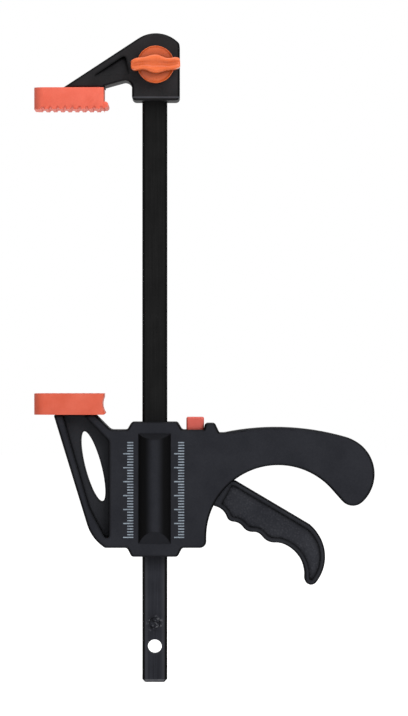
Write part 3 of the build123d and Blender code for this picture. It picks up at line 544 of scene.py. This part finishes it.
def mouldedPlastic(name, deep, pale, shaded, hollowReach, roughness):
    # Unfilled coloured plastic from a smooth mould: even colour, darkened in its hollows as
    # painted shade, a soft shine and a faint waviness where the wall sank as it cooled.
    material, tree, shader = newMaterial(name, {
        "IOR": 1.49, "Specular IOR Level": 0.38, "Subsurface Weight": 0.06,
        "Subsurface Radius": (1.0, 0.4, 0.2), "Subsurface Scale": plastic["lightReach"],
    })
    place = addNode(tree, "ShaderNodeTexCoord").outputs["Object"]
    cloud = addNode(tree, "ShaderNodeTexNoise", {}, {
        "Vector": place, "Scale": 1 / plastic["cloudSize"], "Detail": 3.0,
    })
    grain = addNode(tree, "ShaderNodeTexNoise", {}, {
        "Vector": place, "Scale": 1 / plastic["grainSize"], "Detail": 2.0,
    })
    tone = addNode(tree, "ShaderNodeMapRange", {}, {
        "Value": cloud, "From Min": 0.35, "From Max": 0.65,
    })
    colour = addNode(tree, "ShaderNodeMix", {"data_type": "RGBA"}, {
        0: tone, 6: linearColour(deep), 7: linearColour(pale),
    }).outputs[2]
    # painted shade: darker in hollows, such as the disc round the knob's wing
    hollow = addNode(tree, "ShaderNodeAmbientOcclusion", {"samples": 12}, {"Distance": hollowReach})
    depth = addNode(tree, "ShaderNodeMapRange", {}, {
        "Value": hollow.outputs["AO"], "From Min": 0.4, "From Max": 0.97,
        "To Min": 1.0, "To Max": 0.0,
    })
    colour = addNode(tree, "ShaderNodeMix", {"data_type": "RGBA"}, {
        0: depth, 6: colour, 7: linearColour(shaded),
    }).outputs[2]
    tree.links.new(colour, shader.inputs["Base Color"])
    gloss = addNode(tree, "ShaderNodeMapRange", {}, {
        "Value": grain, "From Min": 0.3, "From Max": 0.7,
        "To Min": roughness - 0.05, "To Max": roughness + 0.06,
    })
    tree.links.new(gloss.outputs[0], shader.inputs["Roughness"])
    relief = addNode(tree, "ShaderNodeBump", {}, {
        "Height": cloud, "Distance": plastic["sinkDepth"], "Strength": 0.5,
    })
    relief = addNode(tree, "ShaderNodeBump", {}, {
        "Height": grain, "Distance": plastic["grainDepth"], "Normal": relief,
    })
    tree.links.new(relief.outputs[0], shader.inputs["Normal"])
    return material


steel = {
    "markSize": 0.15 * mm,
    "markStretch": 0.2,
    "markDepth": 0.004 * mm,
    "blotchSize": 1.5 * mm,
}


def turnedSteel(name, dark, light, roughness):
    # Plated or oiled steel: metal with fine tool marks and a blotchy skin.
    material, tree, shader = newMaterial(name, {"Metallic": 1.0})
    place = addNode(tree, "ShaderNodeTexCoord").outputs["Object"]
    stretched = addNode(tree, "ShaderNodeMapping", {}, {
        "Vector": place, "Scale": (1, 1, steel["markStretch"]),
    })
    marks = addNode(tree, "ShaderNodeTexNoise", {}, {
        "Vector": stretched, "Scale": 1 / steel["markSize"], "Detail": 2.0,
    })
    blotch = addNode(tree, "ShaderNodeTexNoise", {}, {
        "Vector": place, "Scale": 1 / steel["blotchSize"], "Detail": 4.0,
    })
    tone = addNode(tree, "ShaderNodeMapRange", {}, {
        "Value": blotch, "From Min": 0.35, "From Max": 0.65,
    })
    colour = addNode(tree, "ShaderNodeMix", {"data_type": "RGBA"}, {
        0: tone, 6: linearColour(dark), 7: linearColour(light),
    }).outputs[2]
    tree.links.new(colour, shader.inputs["Base Color"])
    gloss = addNode(tree, "ShaderNodeMapRange", {}, {
        "Value": marks, "From Min": 0.3, "From Max": 0.7,
        "To Min": roughness - 0.06, "To Max": roughness + 0.08,
    })
    tree.links.new(gloss.outputs[0], shader.inputs["Roughness"])
    relief = addNode(tree, "ShaderNodeBump", {}, {"Height": marks, "Distance": steel["markDepth"]})
    tree.links.new(relief.outputs[0], shader.inputs["Normal"])
    return material


ink = {
    "full": "#98A3AE",
    "thin": "#6C7681",
    "grainDepth": 0.01 * mm,
}


def padPrintedInk():
    # Pad-printed ink: thin, matt, pale grey-blue, thinned by the grain under it.
    material, tree, shader = newMaterial("padPrintedInk", {"Specular IOR Level": 0.3})
    place = addNode(tree, "ShaderNodeTexCoord").outputs["Object"]
    grain = addNode(tree, "ShaderNodeTexNoise", {}, {
        "Vector": place, "Scale": 1 / nylon["grainSize"], "Detail": 3.0, "Roughness": 0.6,
    })
    tone = addNode(tree, "ShaderNodeMapRange", {}, {
        "Value": grain, "From Min": 0.35, "From Max": 0.7,
    })
    colour = addNode(tree, "ShaderNodeMix", {"data_type": "RGBA"}, {
        0: tone, 6: linearColour(ink["full"]), 7: linearColour(ink["thin"]),
    }).outputs[2]
    tree.links.new(colour, shader.inputs["Base Color"])
    gloss = addNode(tree, "ShaderNodeMapRange", {}, {"Value": grain, "To Min": 0.5, "To Max": 0.75})
    tree.links.new(gloss.outputs[0], shader.inputs["Roughness"])
    relief = addNode(tree, "ShaderNodeBump", {}, {"Height": grain, "Distance": ink["grainDepth"]})
    tree.links.new(relief.outputs[0], shader.inputs["Normal"])
    return material


materials = {
    "housing": grainedNylon("housingNylon", "#24252A", "#2B2C31", partingLine=True),
    "jaw": grainedNylon("jawNylon", "#232324", "#2F2E30", highlightLevel=157.85 * mm),
    "trigger": grainedNylon("triggerNylon", "#27282D", "#333439", panelDepth=4.4 * mm,
                            cornerReach=1.8 * mm, cornerStart=0.97),
    "bar": blackOxideSteel(),
    "fixedPad": softVinyl("salmonVinyl", "#E4634C", "#ED705A", "#C0523F"),
    "movingPad": softVinyl("deepSalmonVinyl", "#D3593F", "#DC654D", "#A8422F"),
    "knob": mouldedPlastic("orangePolypropylene", "#E6682F", "#EE7239", "#8C3A00",
                           hollowReach=5.5 * mm, roughness=0.3),
    "button": mouldedPlastic("redAcetal", "#D25749", "#DC6053", "#8E3428",
                             hollowReach=1.2 * mm, roughness=0.42),
    "zinc": turnedSteel("zincPlatedSteel", "#A2A4A6", "#C2C3C4", roughness=0.32),
    "screws": turnedSteel("blackZincSteel", "#2A2A2C", "#3C3C3E", roughness=0.38),
    "spring": turnedSteel("oiledSpringWire", "#6E6C6A", "#8B8987", roughness=0.28),
    "ink": padPrintedInk(),
}
print("materials made:", len(materials))

# the CAD pieces that keep their own shape, and what each is made of
cadFinish = {
    "bar": "bar",
    "stop_pin": "bar",
    "lock_washer": "zinc",
    "lock_screw": "zinc",
    "lock_nut": "zinc",
    "housing_front": "housing",
    "housing_back": "housing",
    "housing_screws": "screws",
    "trigger_pin": "zinc",
    "trigger": "trigger",
    "drive_plate_upper": "zinc",
    "drive_plate_lower": "zinc",
    "brake_plate": "zinc",
    "release_button": "button",
}
for nodeName, finish in cadFinish.items():
    nodes[nodeName].data.materials.clear()
    nodes[nodeName].data.materials.append(materials[finish])
print("CAD pieces dressed:", len(cadFinish))


padShape = {
    "length": 20.0 * mm,
    "tipRound": 3.0 * mm,
    "heelRound": 0.6 * mm,
    "edge": 0.4 * mm,
    "pitch": 2.1 * mm,
    "grooveRadius": 0.55 * mm,
    "grooveDepth": 0.42 * mm,
    "fixedGrooves": 9,
    "fixedFirst": 2.525 * mm,  # first groove, from the free end
    "fixedGrooveLength": 24 * mm,  # past both sides
    "movingGrooves": 8,
    "movingFirst": 3.35 * mm,
    "movingGrooveLength": 15.6 * mm,  # stops short of both sides
    "notchTilt": radians(38),  # ridge ends run out up the pad's sides
    "notchRise": 0.3 * mm,
    "notchLength": 3.4 * mm,
    "wall": 2.55 * mm,
    "tongueHalf": 6.05 * mm,
    "tongueHeight": 3.1 * mm,
    "tab": (0.4 * mm, 1.25 * mm),  # out from the heel and up from the lower face
    "tabRadius": 0.9 * mm,
    "lip": (-0.35 * mm, 0.8 * mm),
    "lipRadius": 0.8 * mm,
    "endRoom": 1.2 * mm,  # that the tab and the lip leave, both ends together
    "scoopDepth": 0.45 * mm,
    "scoopRadius": 4.34 * mm,
    "scoopLength": 30 * mm,
}


def padBlock(low, high):
    # a box with its corners rounded in plan, most at the free end
    piece = addBlock(low, high)
    for x, radius, steps in ((low.x, padShape["tipRound"], 10), (high.x, padShape["heelRound"], 3)):
        pick(piece, "EDGE", lambda a, b: abs(a.x - x) < near and abs(b.x - x) < near
             and abs(a.y - b.y) < near)
        bpy.ops.mesh.bevel(offset=radius, segments=steps, affect="EDGES")
    return piece


def padSocket(low, heel, seat, depth):
    # the room for the tongue, from just outside the seat
    bottom, top = sorted((seat - depth / 6, seat + depth))
    return addBlock(
        (low.x + padShape["wall"], -padShape["tongueHalf"], bottom),
        (heel - padShape["wall"], padShape["tongueHalf"], top),
    )


def finishPad(piece, name, body, material, node):
    applyModifier(piece, "BEVEL", width=padShape["edge"], segments=3, limit_method="ANGLE",
                  angle_limit=radians(45), harden_normals=False)
    finishPiece(piece, name, body, material)
    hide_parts(node)


def fixedPad():
    low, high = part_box("fixed_jaw_pad")
    heel = low.x + padShape["length"]
    piece = padBlock(low, Vector((heel, high.y, high.z)))
    # round pull tab along the lower heel edge
    out, up = padShape["tab"]
    tab = addRod((heel + out, 0, low.z + up), padShape["tabRadius"],
                 high.y - low.y - padShape["endRoom"])
    cut(piece, tab, "UNION")
    first = low.x + padShape["fixedFirst"]
    groove = addRod((first, 0, low.z - padShape["grooveRadius"] + padShape["grooveDepth"]),
                    padShape["grooveRadius"], padShape["fixedGrooveLength"], 24)
    repeatAlongX(groove, padShape["fixedGrooves"], padShape["pitch"])
    cut(piece, groove)
    for side in (-1, 1):
        notch = addRod((first, side * high.y, low.z + padShape["notchRise"]),
                       padShape["grooveRadius"], padShape["notchLength"], 16,
                       side * padShape["notchTilt"])
        repeatAlongX(notch, padShape["fixedGrooves"], padShape["pitch"])
        cut(piece, notch)
    cut(piece, padSocket(low, heel, high.z, -padShape["tongueHeight"]))
    finishPad(piece, "fixedPad", "frame", materials["fixedPad"], "fixed_jaw_pad")


def movingPad():
    low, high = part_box("moving_jaw_pad")
    heel = low.x + padShape["length"]
    piece = padBlock(low, Vector((heel, high.y, high.z)))
    # flared lip along the lower heel edge, and the shallow scoop above it
    out, up = padShape["lip"]
    lip = addRod((heel + out, 0, low.z + up), padShape["lipRadius"],
                 high.y - low.y - padShape["endRoom"])
    cut(piece, lip, "UNION")
    scoopX = heel + padShape["scoopRadius"] - padShape["scoopDepth"]
    scoop = addRod((scoopX, 0, (low.z + high.z) / 2),
                   padShape["scoopRadius"], padShape["scoopLength"], 96)
    cut(piece, scoop)
    first = low.x + padShape["movingFirst"]
    groove = addRod((first, 0, high.z + padShape["grooveRadius"] - padShape["grooveDepth"]),
                    padShape["grooveRadius"], padShape["movingGrooveLength"], 24)
    repeatAlongX(groove, padShape["movingGrooves"], padShape["pitch"])
    cut(piece, groove)
    cut(piece, padSocket(low, heel, low.z, padShape["tongueHeight"]))
    finishPad(piece, "movingPad", "housing", materials["movingPad"], "moving_jaw_pad")


fixedPad()
movingPad()
print("pads made")


knob = {
    "centreX": 0.35 * mm,
    "discRadius": 5.3 * mm,
    "discHeight": 3.4 * mm,
    "rimWidth": 0.5 * mm,
    "rimRise": 0.3 * mm,
    "rimRound": 0.25 * mm,
    "wingLength": 14.1 * mm,
    "wingHalf": 2 * mm,  # of the block that is pulled to the outline
    "wingFoot": 1.2 * mm,
    "loopGap": 1 * mm,  # edges longer than this are divided
    "edgeDrop": 0.5 * mm,
    "hollow": 1.4 * mm,
    "endDrop": 0.35 * mm,
    "endDepth": 1 * mm,  # as far back as the ends drop
    # upper outline from the left end to the right one; the lower is the same turned half round
    "outline": (1.3, 1.95, 2.0, 2.1, 2.5, 2.75, 2.35, 1.5, 1.35, 1.75, 1.2),
    "restAngle": radians(3),
}


def knobDisc(back, centreZ):
    disc = addRod((knob["centreX"], back - knob["discHeight"] / 2, centreZ), knob["discRadius"],
                  knob["discHeight"], 96)
    pick(disc, "FACE", lambda c, n: n.y < -0.9)
    bpy.ops.mesh.inset(thickness=knob["rimWidth"], depth=0)
    bpy.ops.transform.translate(value=(0, knob["rimRise"], 0))
    applyModifier(disc, "BEVEL", width=knob["rimRound"], segments=3, limit_method="ANGLE",
                  angle_limit=radians(30))
    return disc


def knobWing(back, front, centreZ):
    # a block in loops and rows, hollowed between two crests and pulled to its outline
    half = knob["wingLength"] / 2
    halfWidth = knob["wingHalf"]
    middle = Vector((knob["centreX"], 0, centreZ))
    wing = addBlock(
        (middle.x - half, front, centreZ - halfWidth),
        (middle.x + half, back - knob["wingFoot"], centreZ + halfWidth),
    )
    steps = len(knob["outline"]) - 1
    for axis, cuts in ((0, steps - 1), (1, 3), (2, 3)):
        pick(wing, "EDGE", lambda a, b: abs(a[axis] - b[axis]) > knob["loopGap"])
        bpy.ops.mesh.subdivide(number_cuts=cuts)

    pick(wing, "VERT", lambda p: p.y < front + near and abs(p.z - centreZ) < near)
    bpy.ops.transform.translate(value=(0, knob["hollow"], 0))
    pick(wing, "VERT", lambda p: p.y < front + near and abs(p.z - centreZ) > halfWidth - near)
    bpy.ops.transform.translate(value=(0, knob["edgeDrop"], 0))
    pick(wing, "VERT", lambda p: p.y < front + knob["endDepth"]
         and abs(p.x - middle.x) > half - near)
    bpy.ops.transform.translate(value=(0, knob["endDrop"], 0))

    for i, upper in enumerate(knob["outline"]):
        lower = knob["outline"][steps - i]
        x = middle.x + half * (2 * i / steps - 1)
        pick(wing, "VERT", lambda p: abs(p.x - x) < near)
        bpy.ops.transform.resize(value=(1, 1, (upper + lower) * mm / 2 / halfWidth),
                                 center_override=(x, 0, centreZ))
        bpy.ops.transform.translate(value=(0, 0, (upper - lower) * mm / 2))
    applyModifier(wing, "SUBSURF", levels=2, render_levels=2)
    pick(wing, "VERT", lambda p: True)
    bpy.ops.transform.rotate(value=knob["restAngle"], orient_axis="Y", center_override=middle)
    return wing


def lockKnob():
    low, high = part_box("lock_knob")
    centreZ = (low.z + high.z) / 2
    wing = knobWing(high.y, low.y, centreZ)
    disc = knobDisc(high.y, centreZ)
    takeUp(disc)
    wing.select_set(True)
    bpy.ops.object.join()
    finishPiece(disc, "lockKnob", "knob", materials["knob"], 40)
    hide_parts("lock_knob")


lockKnob()
print("knob made")


jaw = {
    "half": 7.5 * mm,
    # x and z of two corners of the plain pocket that the scoop replaces
    "pocket": ((-15.0 * mm, 163.6 * mm), (-7.5 * mm, 169.2 * mm)),
    "pocketInner": 4 * mm,  # its walls lie farther from the middle than this
    "scoop": {  # x and z of its corners
        "tipLow": (-17.2 * mm, 163.8 * mm),
        "tipHigh": (-16.7 * mm, 164.5 * mm),
        "endLow": (-7.4 * mm, 164.4 * mm),
        "endHigh": (-8.3 * mm, 170.1 * mm),
    },
    "scoopDepth": 2.2 * mm,
    # share of that depth at each corner, running out to nothing at the lower edge
    "scoopFloor": {"tipLow": 0, "endLow": 0, "tipHigh": 0.35, "endHigh": 1},
    "scoopRound": 1.3 * mm,
    "overcut": 1 * mm,
}


def slopedScoop(side):
    # a block pulled to the scoop's corners, its floor sloped and its upper end rounded
    shape = jaw["scoop"]
    (x0, z0), (x1, z1) = shape["tipLow"], shape["endHigh"]
    y0, y1 = sorted((side * jaw["half"], side * (jaw["half"] + jaw["overcut"])))
    block = addBlock((x0, y0, z0), (x1, y1, z1))
    for (xBlock, zBlock), (x, z) in (
        ((x0, z1), shape["tipHigh"]), ((x1, z0), shape["endLow"]),
    ):
        pick(block, "VERT", lambda p: abs(p.x - xBlock) < near and abs(p.z - zBlock) < near)
        bpy.ops.transform.translate(value=(x - xBlock, 0, z - zBlock))
    for corner, share in jaw["scoopFloor"].items():
        x, z = shape[corner]
        pick(block, "VERT", lambda p: abs(p.x - x) < near and abs(p.z - z) < near
             and abs(p.y) < jaw["half"] + near)
        bpy.ops.transform.translate(value=(0, -side * (near + share * jaw["scoopDepth"]), 0))
    pick(block, "EDGE", lambda a, b: all(
        abs(p.x - x1) < near and abs(p.z - z1) < near for p in (a, b)
    ))
    bpy.ops.mesh.bevel(offset=jaw["scoopRound"], segments=8, affect="EDGES")
    return block


def mergedCopy(nodeName):
    # a CAD piece's mesh as a closed one that can be edited
    piece = bpy.data.objects.new(nodeName, nodes[nodeName].data.copy())
    bpy.context.collection.objects.link(piece)
    takeUp(piece)
    bpy.ops.mesh.customdata_custom_splitnormals_clear()
    pick(piece, "VERT", lambda p: True)
    bpy.ops.mesh.remove_doubles(threshold=near / 20)
    return piece


def fixedJaw():
    # the CAD jaw with its plain pocket closed and a sloped scoop cut on both sides
    piece = mergedCopy("fixed_jaw")
    (x0, z0), (x1, z1) = jaw["pocket"]
    pick(piece, "FACE", lambda c, n: x0 < c.x < x1 and z0 < c.z < z1
         and jaw["pocketInner"] < abs(c.y) < jaw["half"] - near)
    bpy.ops.mesh.delete(type="FACE")
    pick(piece, "VERT", lambda p: True)
    bpy.ops.mesh.fill_holes(sides=0)
    bpy.ops.mesh.normals_make_consistent(inside=False)
    for side in (-1, 1):
        cut(piece, slopedScoop(side))
    finishPiece(piece, "fixedJaw", "frame", materials["jaw"], 30)
    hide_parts("fixed_jaw")


fixedJaw()
print("fixed jaw made")


springs = {
    "drive_spring": {"name": "driveSpring", "joint": "drive_travel", "press": 1.69 * mm},
    "brake_spring": {"name": "brakeSpring", "joint": "brake_tilt", "press": 1.58 * mm},
}


def pressedSpring(nodeName, name, joint, press):
    # the CAD coil as a closed mesh of its own, finished and set on the housing
    piece = mergedCopy(nodeName)
    finishPiece(piece, name, "housing", materials["spring"], 40)
    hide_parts(nodeName)
    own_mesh(piece)


for nodeName, spring in springs.items():
    pressedSpring(nodeName, **spring)
print("springs made")


scale = {
    "left": (-9.0 * mm, -6.1 * mm),
    "right": (5.6 * mm, 8.5 * mm),
    "low": 31.6 * mm,
    "pitch": 0.8 * mm,
    "groups": 7,
    "perGroup": 5,  # one long tick, the others short
    "stroke": 0.34 * mm,
    "shortShare": 0.6,
    "surface": -7.2 * mm,
    "thickness": 0.03 * mm,
}


def printedScale(name, x0, x1):
    # plain ticks as raised ink on the front shell, every fifth one long
    y0, y1 = scale["surface"] - scale["thickness"], scale["surface"] + scale["thickness"]
    half = scale["stroke"] / 2
    ticks = []
    for share, first, count in ((1.0, 0, 1), (scale["shortShare"], 1, scale["perGroup"] - 1)):
        z = scale["low"] + first * scale["pitch"]
        tick = addBlock((x1 - (x1 - x0) * share, y0, z - half), (x1, y1, z + half))
        for size, step in ((count, 1), (scale["groups"], scale["perGroup"])):
            applyModifier(
                tick, "ARRAY", count=size, use_relative_offset=False, use_constant_offset=True,
                constant_offset_displace=(0, 0, step * scale["pitch"]),
            )
        ticks.append(tick)
    takeUp(ticks[0])
    ticks[1].select_set(True)
    bpy.ops.object.join()
    finishPiece(ticks[0], name, "housing", materials["ink"])


printedScale("scaleLeft", *scale["left"])
printedScale("scaleRight", *scale["right"])
print("scales made")


studio = {
    "ambient": 0.24,
    "floorSize": 6.0,
    "floorTone": "#F4F4F4",
    "floorGlow": 0.8,  # only where it is looked at, so that it reads white
    "aim": (0.014, 0.0, 0.083),
    "lamps": {  # place, size and power of each
        "key": ((0.85, -1.3, 0.92), 0.9, 17),
        "fill": ((-0.1, -1.5, 0.3), 1.2, 2.8),
        "top": ((0.05, -0.15, 1.3), 0.8, 7),
    },
}


def looking(tree):
    # 1 for what the camera, a mirror or glass sees, 0 for the light that falls on the object
    path = addNode(tree, "ShaderNodeLightPath").outputs
    seen = addNode(tree, "ShaderNodeMath", {"operation": "MAXIMUM"}, {
        0: path["Is Camera Ray"], 1: path["Is Glossy Ray"],
    })
    return addNode(tree, "ShaderNodeMath", {"operation": "MAXIMUM"}, {
        0: seen, 1: path["Is Transmission Ray"],
    })


def backdrop():
    world = bpy.data.worlds.new("whiteStudio")
    bpy.context.scene.world = world
    world.use_nodes = True
    tree = world.node_tree
    tree.nodes.clear()
    strength = addNode(tree, "ShaderNodeMapRange", {}, {
        "Value": looking(tree), "To Min": studio["ambient"], "To Max": 1.0,
    })
    sky = addNode(tree, "ShaderNodeBackground", {}, {"Color": (1, 1, 1, 1), "Strength": strength})
    addNode(tree, "ShaderNodeOutputWorld", {}, {"Surface": sky})

    putDown()
    bpy.ops.mesh.primitive_plane_add(size=studio["floorSize"], location=(0, 0, cadLow[2]))
    floor = bpy.context.object
    placeIntoMesh(floor)
    floor.name = "floor"
    material = bpy.data.materials.new("palePaper")
    material.use_nodes = True
    tree = material.node_tree
    tree.nodes.clear()
    paper = addNode(tree, "ShaderNodeBsdfDiffuse", {}, {"Color": linearColour(studio["floorTone"])})
    strength = addNode(tree, "ShaderNodeMapRange", {}, {
        "Value": looking(tree), "To Max": studio["floorGlow"],
    })
    glow = addNode(tree, "ShaderNodeEmission", {}, {"Color": (1, 1, 1, 1), "Strength": strength})
    both = addNode(tree, "ShaderNodeAddShader", {}, {0: paper, 1: glow})
    addNode(tree, "ShaderNodeOutputMaterial", {}, {"Surface": both})
    floor.data.materials.append(material)


def softLights():
    for name, (place, size, power) in studio["lamps"].items():
        putDown()
        turn = (Vector(studio["aim"]) - Vector(place)).to_track_quat("-Z", "Y").to_euler()
        bpy.ops.object.light_add(type="AREA", location=place, rotation=turn)
        light = bpy.context.object
        light.name = name
        light.data.size = size
        light.data.energy = power


view = {
    "distance": 1300 * mm,
    "x": 14.18 * mm,
    "z": 83.06 * mm,
    "seenHeight": 206.5 * mm,  # what the camera takes in at the bar's plane
    "farthest": 20,
}


def addCamera():
    putDown()
    bpy.ops.object.camera_add(
        location=(view["x"], -view["distance"], view["z"]), rotation=(pi / 2, 0, 0),
    )
    camera = bpy.context.object
    camera.data.sensor_fit = "VERTICAL"
    camera.data.lens = camera.data.sensor_height * view["distance"] / view["seenHeight"]
    camera.data.clip_end = view["farthest"]
    bpy.context.scene.camera = camera


backdrop()
softLights()
addCamera()
bpy.context.scene.view_settings.view_transform = "Standard"
print("studio ready")
